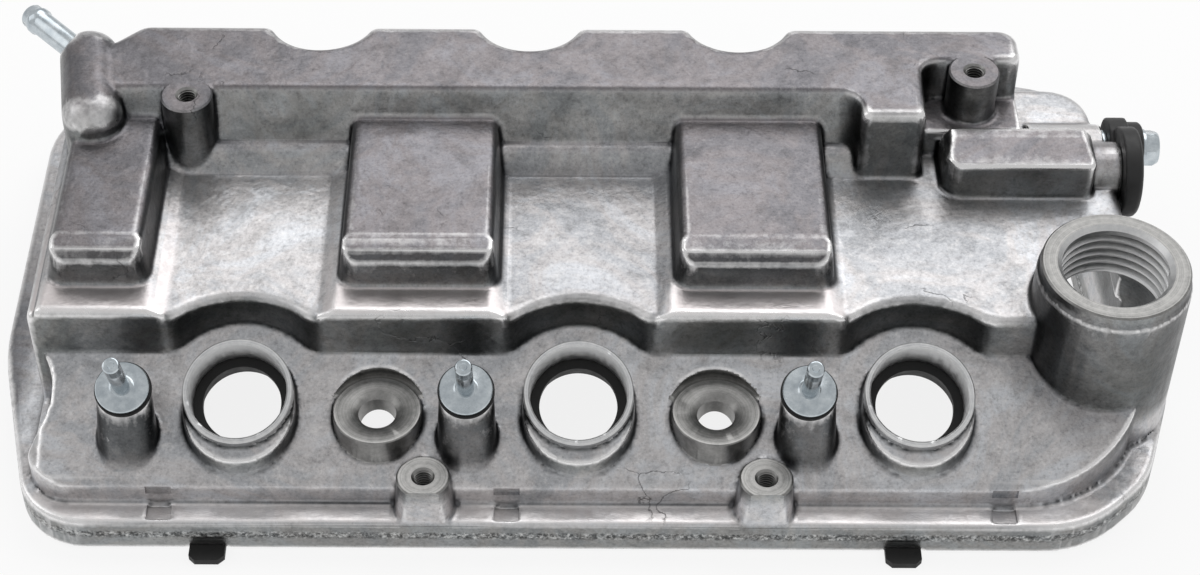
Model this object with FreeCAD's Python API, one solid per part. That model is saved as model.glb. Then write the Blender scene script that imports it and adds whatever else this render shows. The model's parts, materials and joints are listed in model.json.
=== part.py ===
import FreeCAD
import Part

import math
import os

V = FreeCAD.Vector

# Cast valve cover for one bank of a V6 engine, in millimetres.
# Plan positions are measured from the middle plug tube: X runs along the engine, Y towards the
# rear of the cover, Z up from the underside of the rubber gasket. At the end every piece is
# moved so that the origin is the bottom centre of the whole cover.
origin_x = 2.0
origin_y = 63.0

# Casting
wall = 4.0
flange_underside = 0.6
flange_top = 12.2
edge_round = 1.5
deck_roll = 1.5
lower_deck_front = 20.5
upper_deck = 51.6
pad_top = upper_deck + 1.6
hump_top = pad_top + 13.3
ridge_top = upper_deck + 24.4
step_top = upper_deck + 6.9
pad_slope = 4.5
pad_margin = 1.5
step_slope = 7.2
reach = 400.0

# Body walls
body_left = -160.0
body_right = 164.0
body_front = -18.9
body_rear = 152.0
upper_rear = 119.5
upper_front = 17.6
rear_edge_height = 26.0
step_back = 14.0

# Scoop in the left wall
side_scoop_radius = 19.0
side_scoop_x = body_left - 12.4
side_scoop_y = 7.0
side_scoop_foot = 14.5
side_roll_width = 4.2
side_roll_depth = 5.0

# Flange outline: x, y and corner radius
flange_left = body_left - 15.3
flange_right = body_right + 15.0
flange_front = body_front - 7.9
flange_rear = body_rear + 8.0
flange_outline = [
    (flange_left, flange_rear, 30.0),
    (flange_left, 40.0, 80.0),
    (flange_left + 16.0, flange_front, 22.0),
    (flange_right - 32.0, flange_front, 34.0),
    (flange_right - 11.5, flange_front + 18.8, 34.0),
    (flange_right, 28.0, 40.0),
    (flange_right, flange_rear, 36.0),
]

# Plug tubes
tube_pitch = 98.0
tube_count = 3
tube_tilt = 23.3
rim_height = 39.4
rim_radius = 15.9
tube_bore = 14.1
rim_length = 4.0
collar_radius = 16.3
collar_y = -0.6
tube_housing_radius = 20.0
seal_depth = 12.0
seal_height = 9.0
seal_radius = 16.6
seal_lip_radius = 11.4
relief_radius = 28.0
relief_centre_y = -2.0
relief_corner = 12.0

# Coil studs and their seats, each one beside a tube
stud_offset_x = -32.16
stud_seat_y = -2.3
stud_seat_z = 42.5
stud_flange_radius = 7.76
stud_flange_thickness = 1.6
stud_radius = 2.5
stud_length = 20.8
stud_taper = 0.8
stud_point = 1.8
stud_point_radius = 1.9
stud_hold = 12.0
washer_radius = 8.2
washer_thickness = 1.2
column_lean = 6.8
column_base_radius = 9.2
column_base = 16.0

# Cover bolt bosses
bolt_boss_radius = 12.8
bolt_boss_top = 32.0
bolt_hole_radius = 5.5
bolt_spot_radius = 14.5
bolt_spot_depth = 0.8
bolt_dish_radius = 7.4
bolt_dish_depth = 1.6
front_bolt_x = [-58.2, 39.8]
front_bolt_y = -0.6
rear_bolt_x = [-80.0, -15.5, 49.0]
rear_bolt_y = 126.2
scallop_radius = 16.6

# Threaded bosses for brackets
thread_boss_radius = 7.75
thread_core_radius = 2.5
thread_mouth_radius = 3.4
thread_depth = 16.0
front_thread_x = [-44.3, 53.7]
front_thread_y = -20.4
front_thread_top = 26.0
web_thickness = 3.0
rear_thread = [(-118.2, 86.4), (120.1, 99.2)]

# Oil filler neck
neck_x = body_right - 10.3
neck_y = 24.9
neck_top = upper_deck + 15.7
neck_rim_radius = 21.4
neck_radius = 22.3
neck_draft = 0.6
neck_rim_height = 4.0
neck_bore = 15.4
neck_mouth = 16.8
neck_thread_length = 17.0
neck_relief = 16.6

# Humps over the rocker arms: left and right foot, y of the front foot
hump_pitch = 98.0
hump_left_foot = -71.0
hump_width = 48.5
end_hump_left = -155.5
end_hump_width = 31.0
hump_front = 28.0
hump_draft = 3.0
hump_count = 2
hump_roll = 9.0
hump_side_round = 5.0
hump_top_round = 3.0

# Rear chamber
ridge_foot = 84.6
ridge_front = 89.6
ridge_rear = 119.5
ridge_left = body_left + 12.0
ridge_right = 135.2
ridge_round = 2.2
nose_left = 84.5
nose_right = 104.0
nose_front = ridge_foot - 7.2
nose_depth = 27.0

# End housing, its bore runs along X
bore_y = 82.4
bore_z = upper_deck - 1.4
bore_radius = 7.5
bore_start = 122.0
housing_left = 110.0
housing_right = body_right - 8.5
housing_end_round = 6.5
housing_end_slope = 2.6
housing_front = 68.8
housing_crease = upper_deck + 12.6
housing_top = housing_crease + 2.2
housing_rear = 84.6
plateau_top = upper_deck + 9.4
plateau_rear = ridge_rear - 14.0
bore_end = body_right + 1.0
bore_end_radius = 9.2
lug_y = 96.9
lug_z = bore_z - 3.4
lug_radius = 7.3
lug_start = body_right - 25.0
lug_end = body_right - 1.9
lug_thread = 20.0

# End cap
cap_face = bore_end + 5.5
cap_radius = 13.8
ear_start = lug_end + 1.7
ear_face = ear_start + 11.0
ear_flange = 6.0
cap_edge = 0.9
ear_radius = 9.4
ear_boss_radius = 8.1
spigot_clearance = 0.1
spigot_length = 8.0
oring_section = 1.8
oring_start = bore_end - 5.0
sleeve_radius = 4.6
sleeve_collar_radius = 5.5
sleeve_clearance = 0.2
cap_bolt_radius = 3.0
cap_hex = 10.0
cap_bolt_flange = 5.9
cap_bolt_head = 5.3
cap_bolt_thread = 14.0

# Breather
elbow_front = (body_left + 13.0, ridge_foot)
elbow_rear = (body_left + 8.8, upper_rear - 9.5)
elbow_radius = 9.2
elbow_top = ridge_top + 1.5
pipe_radius = 3.9
pipe_bore = 3.0
pipe_bead = 4.4
pipe_bead_length = 1.6
pipe_bead_from_end = 3.4
pipe_height = ridge_top - 4.0
pipe_heading = 134.4
pipe_shift = -2.9
pipe_out = 28.2
pipe_in = 8.0
elbow_floor = 38.0

# Gasket
groove_inset = 4.6
groove_width = 4.2
groove_depth = 3.0
tab_width = 10.4
tab_reach = 5.4
tab_thickness = 2.0
tab_corner = 1.8
tab_x = [-107.4, 94.4]

# Ledge notches
notch_x = [-121.0, -20.6, 123.1]
notch_width = 7.0
notch_depth = 1.2

# Baffle under the rear chamber
baffle_thickness = 1.2
baffle_z = upper_deck - wall - baffle_thickness
baffle_seat = 3.5
baffle_clearance = 0.3
baffle_x = [-112.0, -48.0, 17.0, 82.0]
baffle_post_y = 103.0
baffle_post_radius = 4.5
screw_radius = 2.0
screw_head_radius = 4.0
screw_head_height = 2.4
screw_edge = 0.7
screw_slot = 0.9
screw_length = 11.0


def outline(corners, z=0.0):
    """Closed wire through corners given as x, y and radius."""
    count = len(corners)
    ends = []
    for i in range(count):
        x, y, radius = corners[i]
        corner = V(x, y, z)
        back = V(corners[i - 1][0], corners[i - 1][1], z) - corner
        ahead = V(corners[(i + 1) % count][0], corners[(i + 1) % count][1], z) - corner
        back.normalize()
        ahead.normalize()
        if radius <= 0:
            ends.append((corner, None, corner))
            continue
        half = back.getAngle(ahead) / 2
        reach = radius / math.tan(half)
        middle = back + ahead
        middle.normalize()
        centre = corner + middle * (radius / math.sin(half))
        ends.append((corner + back * reach, centre - middle * radius, corner + ahead * reach))
    edges = []
    for i in range(count):
        start, through, end = ends[i]
        if through is not None:
            edges.append(Part.Arc(start, through, end).toShape())
        following = ends[(i + 1) % count][0]
        if end.distanceToPoint(following) > 1e-6:
            edges.append(Part.LineSegment(end, following).toShape())
    return Part.Wire(edges)


def prism(wire, low, high):
    """Solid over a flat wire, from one height to another."""
    face = Part.Face(wire)
    face.translate(V(0, 0, low - face.BoundBox.ZMin))
    return face.extrude(V(0, 0, high - low))


def inset(corners, distance):
    """The wire of an outline, moved inwards."""
    return outline(corners).makeOffset2D(-distance)


def along_x(points, start, end):
    """Solid with a profile of y and z points, from one x to another."""
    vectors = [V(start, y, z) for y, z in points]
    wire = Part.makePolygon(vectors + vectors[:1])
    return Part.Face(wire).extrude(V(end - start, 0, 0))


def along_y(points, start, end):
    """Solid with a profile of x and z points, from one y to another."""
    vectors = [V(x, start, z) for x, z in points]
    wire = Part.makePolygon(vectors + vectors[:1])
    return Part.Face(wire).extrude(V(0, end - start, 0))


def round_edges(solid, radius, test):
    """Fillet every edge whose ends and middle pass a test."""
    chosen = []
    for edge in solid.Edges:
        points = [v.Point for v in edge.Vertexes]
        points.append(edge.valueAt((edge.FirstParameter + edge.LastParameter) / 2))
        if all(test(p) for p in points):
            chosen.append(edge)
    return solid.makeFillet(radius, chosen)


def at_height(z):
    return lambda p: abs(p.z - z) < 0.01


def cylinder(radius, length, base, direction=V(0, 0, 1)):
    return Part.makeCylinder(radius, length, base, direction)


def x_cylinder(radius, start, end, y, z):
    """Cylinder along X between two stations."""
    return cylinder(radius, end - start, V(start, y, z), V(1, 0, 0))


def fuse(parts):
    """Union of a list of solids."""
    return parts[0].multiFuse(parts[1:]) if len(parts) > 1 else parts[0]


tilt = math.radians(tube_tilt)
tube_axis = V(0, -math.sin(tilt), math.cos(tilt))
deck_slope = math.tan(tilt)
tube_x = [(i - (tube_count - 1) / 2) * tube_pitch for i in range(tube_count)]


def rim_centre(x):
    return V(x, 0, rim_height)


def deck_profile(drop):
    """Lower decks seen from the end, the whole profile lowered by the wall inside the cover."""
    run = upper_front + step_back
    front = body_front + drop
    rise = drop / math.cos(tilt)
    low = lower_deck_front - rise
    top = low + (run - body_front) * deck_slope
    return [
        (front, -1.0),
        (front, low - deck_roll),
        (front + deck_roll, low + deck_roll * deck_slope),
        (run, top),
        (upper_rear, top),
        (body_rear - drop - 2.0, rear_edge_height - drop),
        (body_rear - drop, rear_edge_height - 3.0 - drop),
        (body_rear - drop, -1.0),
    ]


body_outline = [
    (body_left, body_rear, 24.0),
    (body_left, body_front, 13.0),
    (body_right + 2.0, body_front, 39.0),
    (body_right + 2.0, 40.0, 20.0),
    (body_right - 7.0, body_rear, 26.0),
]
upper_outline = [
    (body_left, upper_rear, 16.0),
    (body_left, upper_front, 2.0),
    (body_right, upper_front, 2.0),
    (body_right, 68.0, 20.0),
    (body_right - 5.5, upper_rear, 13.0),
]


def ridge_outline(front, nose, right):
    """Corners of the rear chamber, with the nose that reaches forward beside the end housing."""
    return [
        (ridge_left + 13.0, ridge_rear, 5.0),
        (ridge_left, ridge_rear - 12.0, 8.0),
        (ridge_left, front, 4.0),
        (nose_left, front, 6.5),
        (nose_left, nose, 2.6),
        (nose_right, nose, 3.0),
        (nose_right + 0.6, right, 6.0),
        (ridge_right, right, 3.5),
        (ridge_right, ridge_rear, 6.0),
    ]


def tube_reliefs(extra, high):
    """Vertical cylinders that keep the upper deck clear of the plug tubes."""
    centre = [V(x, relief_centre_y, -5.0) for x in tube_x]
    return [cylinder(relief_radius + extra, high + 5.0, c) for c in centre]


def upper_body():
    """Upper deck block with its waves round the plug tubes."""
    block = prism(outline(upper_outline), 5.0, upper_deck)
    block = block.cut(fuse(tube_reliefs(0.0, upper_deck)))

    def wave_corner(p):
        return p.y < upper_front + 0.01 and min(abs(p.x - x) for x in tube_x) < relief_radius

    tall = [e for e in block.Edges if abs(e.BoundBox.ZLength - (upper_deck - 5.0)) < 0.01]
    corners = [e for e in tall if wave_corner(e.Vertexes[0].Point)]
    block = block.makeFillet(relief_corner, corners)
    front_top = [
        e for e in block.Edges if e.BoundBox.ZLength < 0.01 and at_height(upper_deck)(e.Vertexes[0].Point)
    ]
    return block.makeFillet(2.5, front_top)


def pads():
    """Raised benches that carry the humps, with sloping sides towards the bays."""
    end_right = end_hump_left + end_hump_width + pad_slope
    spans = [(body_left + 3.0, end_right, 0.0, pad_slope)]
    for i in range(hump_count):
        foot = hump_left_foot + i * hump_pitch
        spans.append((foot - pad_slope, foot + hump_width + pad_margin, pad_slope, pad_slope))
    solids = []
    for left, right, left_slope, right_slope in spans:
        profile = [
            (left, upper_deck - 4.0),
            (left, upper_deck),
            (left + left_slope, pad_top),
            (right - right_slope, pad_top),
            (right, upper_deck),
            (right, upper_deck - 4.0),
        ]
        bench = along_y(profile, upper_front, ridge_foot)
        bench = round_edges(bench, 2.0, lambda p: abs(p.y - upper_front) < 0.01 and p.z > pad_top - 0.01)
        solids.append(bench)
    return solids


def hump(left, width, drop=0.0):
    """One hump with a rolled front edge, sides drawn in upwards. A drop gives its hollow."""
    top = hump_top - drop
    front = hump_front + drop
    foot = pad_top - 8.0
    side = [
        (front, foot),
        (front + 0.8, top - 4.0),
        (front + 3.4, top - 1.2),
        (front + hump_roll, top),
        (ridge_front + 2.0, top),
        (ridge_front + 2.0, foot),
    ]
    lower_left = left + drop
    lower_right = left + width - drop
    face = [
        (lower_left, foot),
        (lower_left + hump_draft, top + 6.0),
        (lower_right - hump_draft, top + 6.0),
        (lower_right, foot),
    ]
    body = along_x(side, lower_left - 1.0, lower_right + 1.0)
    body = body.common(along_y(face, front - 1.0, ridge_front + 2.0))
    upright = [
        e
        for e in body.Edges
        if e.BoundBox.ZLength > 5.0 and e.BoundBox.YLength < 2.0 and e.BoundBox.YMin < front + 1.0
    ]
    body = body.makeFillet(hump_side_round, upright)
    tops = [e for e in body.Edges if e.BoundBox.YLength > 12.0 and e.BoundBox.ZMin > top - 0.5]
    return body.makeFillet(hump_top_round, tops)


def humps(drop=0.0):
    solids = [hump(end_hump_left, end_hump_width, drop)]
    for i in range(hump_count):
        solids.append(hump(hump_left_foot + i * hump_pitch, hump_width, drop))
    return solids


def scallops(extra, low, high):
    """Round clearances in the rear wall above the rear cover bolts."""
    return [cylinder(scallop_radius + extra, high - low, V(x, rear_bolt_y, low)) for x in rear_bolt_x]


def ridge(drop=0.0):
    """Rear breather chamber, its front wall leaning back. A drop gives its hollow."""
    behind = nose_front + nose_depth
    foot = outline(ridge_outline(ridge_foot, nose_front, behind - 1.0), step_top)
    crown = outline(ridge_outline(ridge_front, nose_front + 1.4, behind), ridge_top)
    if drop:
        foot = foot.makeOffset2D(-drop)
        crown = crown.makeOffset2D(-drop)
        crown.translate(V(0, 0, -drop))
        leaning = Part.makeLoft([foot, crown], True, True)
        block = leaning.fuse(prism(foot, -1.0, step_top))
        return block.cut(fuse(scallops(drop, -1.0, ridge_top)))
    shoulder = crown.copy()
    shoulder.translate(V(0, 0, -ridge_round))
    bevel = crown.makeOffset2D(-0.3 * ridge_round)
    bevel.translate(V(0, 0, -0.3 * ridge_round))
    crest = crown.makeOffset2D(-ridge_round)
    block = prism(foot, lower_deck_front, step_top)
    rings = [foot, shoulder, bevel, crest]
    for low, high in zip(rings, rings[1:]):
        block = block.fuse(Part.makeLoft([low, high], True, True))
    block = block.cut(fuse(scallops(0.0, 10.0, ridge_top + 1.0)))
    rolled = []
    for x in rear_bolt_x:
        base = V(x, rear_bolt_y, ridge_top - ridge_round)
        rolled.append(Part.makeCone(scallop_radius, scallop_radius + ridge_round, ridge_round, base))
    return block.cut(fuse(rolled))


def foot_step():
    """Step along the foot of the rear chamber, at the back of the bays."""
    profile = [
        (ridge_foot - step_slope - 1.8, upper_deck - 4.0),
        (ridge_foot - step_slope, upper_deck),
        (ridge_foot - 2.8, step_top - 0.8),
        (ridge_foot - 1.6, step_top),
        (ridge_foot + 2.0, step_top),
        (ridge_foot + 2.0, upper_deck - 4.0),
    ]
    return along_x(profile, end_hump_left + end_hump_width - 2.0, nose_left + 2.0)


def stud_column(x):
    """Leaning column that carries one coil stud, its seat square to the tube."""
    seat = V(x, stud_seat_y, stud_seat_z) - tube_axis * washer_thickness
    top = Part.makeCircle(washer_radius - 0.3, seat, tube_axis)
    base = Part.makeCircle(column_base_radius, V(x, stud_seat_y - column_lean, column_base))
    return Part.makeLoft([Part.Wire([base]), Part.Wire([top])], True, True)


def tube_collar(x):
    """Cast collar on the deck, faced square to the tube, with the machined rim on it."""
    centre = rim_centre(x)
    collar = cylinder(collar_radius, rim_height, V(x, collar_y, column_base))
    above = Part.makeBox(reach, reach, reach, V(-reach / 2, -reach / 2, 0.0))
    above.rotate(V(0, 0, 0), V(1, 0, 0), tube_tilt)
    above.translate(centre - tube_axis * rim_length)
    buried = 6.0
    rim = cylinder(rim_radius, rim_length + buried, centre - tube_axis * (rim_length + buried), tube_axis)
    housing_length = seal_depth + seal_height
    housing = cylinder(
        tube_housing_radius, housing_length - 10.0, centre - tube_axis * housing_length, tube_axis
    )
    return fuse([collar.cut(above), rim, housing])


def tube_bores(x):
    """Bore through a plug tube, with the seal's seat opened from below."""
    centre = rim_centre(x)
    bore = cylinder(tube_bore, reach + 1.0, centre - tube_axis * reach, tube_axis)
    seat = cylinder(seal_radius, reach, centre - tube_axis * (seal_depth + reach), tube_axis)
    return [bore, seat]


def neck():
    """Oil filler neck: a drafted column with a turned rim."""
    height = neck_top - neck_rim_height - 1.0
    column = Part.makeCone(neck_radius + neck_draft, neck_radius, height, V(neck_x, neck_y, 1.0))
    rim = cylinder(neck_rim_radius, neck_top - flange_top, V(neck_x, neck_y, flange_top))
    return [column, rim]


def neck_bores():
    """Bore of the neck. Low down it stays clear of the gasket's groove."""
    level = flange_top + wall
    thread_foot = neck_top - (neck_mouth - neck_bore) - neck_thread_length
    thread = cylinder(neck_bore, neck_top + 2.0 - thread_foot, V(neck_x, neck_y, thread_foot))
    relief = cylinder(neck_relief, thread_foot - level, V(neck_x, neck_y, level))
    lower = cylinder(neck_bore, level + 1.0, V(neck_x, neck_y, -1.0))
    land = flange_right - groove_inset - groove_width - 3.0
    keep = Part.makeBox(reach, reach, reach, V(land - reach, neck_y - reach / 2, -reach / 2))
    return [thread, relief, lower.common(keep)]


def end_housing():
    """Horizontal housing for the end cap's bore, with the lug of its bolt."""
    profile = [
        (housing_front, upper_deck - 4.0),
        (housing_front + 0.4, housing_crease),
        (bore_y - 2.0, housing_top),
        (housing_rear, housing_top),
        (housing_rear + 0.6, upper_deck - 4.0),
    ]
    plan = [
        (housing_left, housing_rear + 2.0, 0.0),
        (housing_left, housing_front, housing_end_round),
        (housing_right, housing_front, housing_end_round / 2),
        (housing_right, housing_rear + 2.0, 0.0),
    ]
    ends = [
        (housing_left - 1.0, upper_deck - 4.0),
        (housing_left - 1.0, housing_crease - 2.0),
        (housing_left + housing_end_slope, housing_top + 0.1),
        (housing_right - housing_end_slope, housing_top + 0.1),
        (housing_right + 1.0, housing_crease - 2.0),
        (housing_right + 1.0, upper_deck - 4.0),
    ]
    block = along_x(profile, housing_left - 1.0, housing_right + 1.0)
    block = block.common(prism(outline(plan), upper_deck - 4.0, housing_top + 1.0))
    block = block.common(along_y(ends, housing_front - 2.0, housing_rear + 4.0))
    plateau = along_x(
        [
            (housing_rear + 3.4, upper_deck - 4.0),
            (housing_rear + 4.0, plateau_top),
            (plateau_rear, plateau_top),
            (plateau_rear, upper_deck - 4.0),
        ],
        nose_right - 4.0,
        ridge_right,
    )
    nose = cylinder(bore_end_radius, bore_end - housing_left, V(housing_left, bore_y, bore_z), V(1, 0, 0))
    lug = x_cylinder(lug_radius, lug_start, lug_end, lug_y, lug_z)
    shelf = along_x(
        [(bore_y, lug_z), (bore_y, lug_z + lug_radius), (lug_y, lug_z + lug_radius), (lug_y, lug_z)],
        lug_start,
        lug_end,
    )
    return [block, plateau, nose, lug, shelf]


def breather_elbow():
    """Rounded column at the rear left corner that turns the breather gas to its pipe."""
    run = V(elbow_rear[0] - elbow_front[0], elbow_rear[1] - elbow_front[1], 0)
    run.normalize()
    ahead = run * elbow_radius
    side = V(-run.y, run.x, 0) * elbow_radius
    first = V(elbow_front[0], elbow_front[1], 0)
    last = V(elbow_rear[0], elbow_rear[1], 0)
    corners = [last + ahead + side, first - ahead + side, first - ahead - side, last + ahead - side]
    block = prism(outline([(c.x, c.y, elbow_radius - 0.01) for c in corners]), 30.0, elbow_top)
    return round_edges(block, elbow_radius - 1.5, at_height(elbow_top))


def side_roll():
    """Wedge that breaks the left edge of the sloping deck."""
    front = body_front - 5.0
    start = lower_deck_front + (front - body_front) * deck_slope
    points = [
        V(body_left - 1.0, front, start + 2.0),
        V(body_left + side_roll_width + 1.6, front, start + 2.0),
        V(body_left - 1.0, front, start - side_roll_depth - 1.2),
    ]
    face = Part.Face(Part.makePolygon(points + points[:1]))
    run = upper_front + 10.0 - front
    return face.extrude(V(0, run, run * deck_slope))


def side_scoop(extra=0.0, foot=side_scoop_foot):
    """Upright round scoop in the left wall. With an extra radius, the wall behind it."""
    base = V(side_scoop_x, side_scoop_y, foot)
    return cylinder(side_scoop_radius + extra, upper_deck, base)


def bolt_boss(x, y):
    return cylinder(bolt_boss_radius, bolt_boss_top - flange_underside, V(x, y, flange_underside))


def bolt_cuts(x, y):
    """Spot face round a bolt boss, its dished seat and its hole."""
    floor = V(x, y, bolt_boss_top - bolt_spot_depth)
    spot = cylinder(bolt_spot_radius, bolt_boss_radius, floor)
    keep = cylinder(bolt_boss_radius, bolt_boss_radius, floor)
    above = cylinder(bolt_boss_radius + 0.01, bolt_boss_radius, V(x, y, bolt_boss_top))
    dish_foot = V(x, y, bolt_boss_top - bolt_dish_depth)
    dish = Part.makeCone(bolt_hole_radius, bolt_dish_radius, bolt_dish_depth, dish_foot)
    hole = cylinder(bolt_hole_radius, bolt_boss_top + 4.0, V(x, y, -2.0))
    return [spot.cut(keep), above, dish, hole]


def front_thread_boss(x):
    """Threaded boss on the front edge, cut flat in line with the flange."""
    column = cylinder(thread_boss_radius, front_thread_top - 3.0, V(x, front_thread_y, 3.0))
    base = V(x, front_thread_y, flange_top - 4.0)
    foot = Part.makeCone(thread_boss_radius + 1.2, thread_boss_radius, front_thread_top - flange_top, base)
    ahead = Part.makeBox(reach, reach, reach, V(x - reach / 2, flange_front + 0.2 - reach, 0.0))
    side = V(x - web_thickness / 2, front_thread_y, 8.0)
    web = Part.makeBox(web_thickness, stud_seat_y - front_thread_y, 16.0, side)
    return fuse([column, foot, web]).cut(ahead)


def thread_hole(x, y, top, depth):
    hole = cylinder(thread_core_radius, depth, V(x, y, top - depth))
    mouth_depth = thread_mouth_radius - thread_core_radius
    mouth = Part.makeCone(thread_core_radius, thread_mouth_radius, mouth_depth, V(x, y, top - mouth_depth))
    return [hole, mouth]


def core():
    """The hollow under the cover."""
    low = prism(inset(body_outline, wall), -1.0, ridge_top).common(
        along_x(deck_profile(wall), body_left, flange_right)
    )
    low = low.cut(side_scoop(wall, side_scoop_foot - wall))
    middle = prism(inset(upper_outline, wall), -1.0, upper_deck - wall)
    middle = middle.cut(fuse(tube_reliefs(wall, upper_deck)))
    rear = ridge(wall)
    hollow = fuse([low, middle, rear] + humps(wall))
    pockets = fuse(scallops(wall, -1.0, ridge_top))
    start = V(-reach / 2, ridge_front + wall, lower_deck_front)
    keep = Part.makeBox(reach, upper_rear - ridge_front, reach, start)
    return hollow.cut(pockets.common(keep))


def cover_casting():
    """The whole die-cast cover."""
    flange = prism(outline(flange_outline), flange_underside, flange_top)
    flange = round_edges(flange, edge_round, at_height(flange_top))
    low = prism(outline(body_outline), 1.0, ridge_top).common(
        along_x(deck_profile(0.0), body_left - 1.0, flange_right)
    )
    low = low.cut(side_scoop()).cut(side_roll())
    blocks = [flange, low, upper_body(), ridge(), foot_step(), breather_elbow()]
    blocks += pads() + humps() + neck() + end_housing()
    outside = fuse(blocks)
    pockets = fuse(scallops(0.0, bolt_boss_top - bolt_spot_depth, ridge_top + 5.0))
    outside = outside.cut(pockets)
    shell = outside.cut(core())

    added = [tube_collar(x) for x in tube_x]
    added += [stud_column(x + stud_offset_x) for x in tube_x]
    bolts = [(x, front_bolt_y) for x in front_bolt_x] + [(x, rear_bolt_y) for x in rear_bolt_x]
    added += [bolt_boss(x, y) for x, y in bolts]
    added += [front_thread_boss(x) for x in front_thread_x]
    for x, y in rear_thread:
        ceiling = upper_deck - wall
        added.append(cylinder(thread_boss_radius, ridge_top - ceiling, V(x, y, ceiling)))
    added.append(x_cylinder(bore_end_radius, bore_start - wall, bore_end, bore_y, bore_z))
    added.append(x_cylinder(lug_radius, lug_start, lug_end, lug_y, lug_z))
    for x in baffle_x:
        low_end = baffle_z + baffle_thickness
        added.append(cylinder(baffle_post_radius, ridge_top - 2.0 - low_end, V(x, baffle_post_y, low_end)))
    shell = shell.fuse(added)

    cuts = []
    for x in tube_x:
        cuts += tube_bores(x)
    for x, y in bolts:
        cuts += bolt_cuts(x, y)
    for x in front_thread_x:
        cuts += thread_hole(x, front_thread_y, front_thread_top, thread_depth)
    for x, y in rear_thread:
        cuts += thread_hole(x, y, ridge_top, thread_depth)
    for x in tube_x:
        seat = V(x + stud_offset_x, stud_seat_y, stud_seat_z)
        cuts.append(cylinder(stud_radius, stud_hold + 2.0, seat - tube_axis * (stud_hold + 2.0), tube_axis))
        cuts.append(cylinder(washer_radius, stud_hold, seat - tube_axis * washer_thickness, tube_axis))
    cuts += neck_bores()
    mouth = neck_mouth - neck_bore
    cuts.append(Part.makeCone(neck_bore, neck_mouth, mouth, V(neck_x, neck_y, neck_top - mouth)))
    cuts.append(x_cylinder(bore_radius, bore_start, bore_end + 1.0, bore_y, bore_z))
    cuts.append(x_cylinder(thread_core_radius, lug_end - lug_thread, lug_end + 2.0, lug_y, lug_z))
    cuts.append(cylinder(pipe_bore, pipe_height - elbow_floor, V(elbow_rear[0], elbow_rear[1], elbow_floor)))
    start, direction = pipe_line()
    cuts.append(cylinder(pipe_radius, pipe_out, start, direction))
    inward = elbow_radius - pipe_in + abs(pipe_shift)
    cuts.append(cylinder(pipe_bore, inward + 2.0, start - direction * inward, direction))
    for x in baffle_x:
        cuts.append(cylinder(screw_radius, screw_length, V(x, baffle_post_y, baffle_z + baffle_thickness)))
    ledge = body_front - flange_front
    for x in notch_x:
        cuts.append(
            Part.makeBox(
                notch_width,
                ledge - 2.0,
                notch_depth + 5.0,
                V(x - notch_width / 2, flange_front + 1.6, flange_top - notch_depth),
            )
        )
    cuts += gasket_room()
    return shell.cut(fuse(cuts))


def gasket_ring(width, inset_by, low, high):
    outer = prism(inset(flange_outline, inset_by), low, high)
    return outer.cut(prism(inset(flange_outline, inset_by + width), low - 1.0, high + 1.0))


def gasket_tabs(low, high):
    """Flat ears that stick out of the front of the gasket."""
    length = tab_reach + groove_inset + 1.0
    tabs = []
    for x in tab_x:
        start = flange_front - tab_reach
        tab = Part.makeBox(tab_width, length, high - low, V(x - tab_width / 2, start, low))
        upright = [e for e in tab.Edges if e.BoundBox.ZLength > 0.5 and e.BoundBox.YMax < start + 0.01]
        tabs.append(tab.makeChamfer(tab_corner, upright))
    return tabs


def gasket_room():
    ring = gasket_ring(groove_width, groove_inset, 0.0, flange_underside + groove_depth)
    return [ring] + gasket_tabs(0.0, tab_thickness)


def perimeter_gasket():
    ring = gasket_ring(groove_width, groove_inset, 0.0, flange_underside + groove_depth)
    return fuse([ring] + gasket_tabs(0.0, tab_thickness))


def tube_seal(x):
    """Rubber seal in a plug tube, with a lip that grips the tube."""
    top = rim_centre(x) - tube_axis * seal_depth
    body = cylinder(seal_radius, seal_height, top - tube_axis * seal_height, tube_axis)
    hole = cylinder(seal_lip_radius + 1.6, seal_height, top - tube_axis * (seal_height + 2.0), tube_axis)
    lip = cylinder(seal_lip_radius, seal_height * 2, top - tube_axis * seal_height * 1.5, tube_axis)
    return body.cut(hole).cut(lip)


def coil_stud(x):
    """Stud with a round flange and a dog point, screwed into its column."""
    seat = V(x + stud_offset_x, stud_seat_y, stud_seat_z)
    shank = cylinder(stud_radius, stud_hold, seat - tube_axis * stud_hold, tube_axis)
    collar = cylinder(stud_flange_radius, stud_flange_thickness, seat, tube_axis)
    collar = collar.makeChamfer(0.3, [e for e in collar.Edges if len(e.Vertexes) == 1])
    shaft_length = stud_length - stud_taper - stud_point
    shaft = cylinder(stud_radius, stud_flange_thickness + shaft_length, seat, tube_axis)
    shoulder = seat + tube_axis * (stud_flange_thickness + shaft_length)
    taper = Part.makeCone(stud_radius, stud_point_radius, stud_taper, shoulder, tube_axis)
    point = cylinder(stud_point_radius, stud_point, shoulder + tube_axis * stud_taper, tube_axis)
    return fuse([shank, collar, shaft, taper, point])


def stud_washer(x):
    """Rubber washer between a stud's flange and its column."""
    seat = V(x + stud_offset_x, stud_seat_y, stud_seat_z)
    ring = cylinder(washer_radius, washer_thickness, seat - tube_axis * washer_thickness, tube_axis)
    return ring.cut(cylinder(stud_radius, 10.0, seat - tube_axis * 5.0, tube_axis))


def pipe_line():
    heading = math.radians(pipe_heading)
    direction = V(math.cos(heading), math.sin(heading), 0)
    middle = V(elbow_rear[0], elbow_rear[1] + pipe_shift, pipe_height)
    start = middle + direction * (elbow_radius - pipe_in)
    return start, direction


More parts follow.
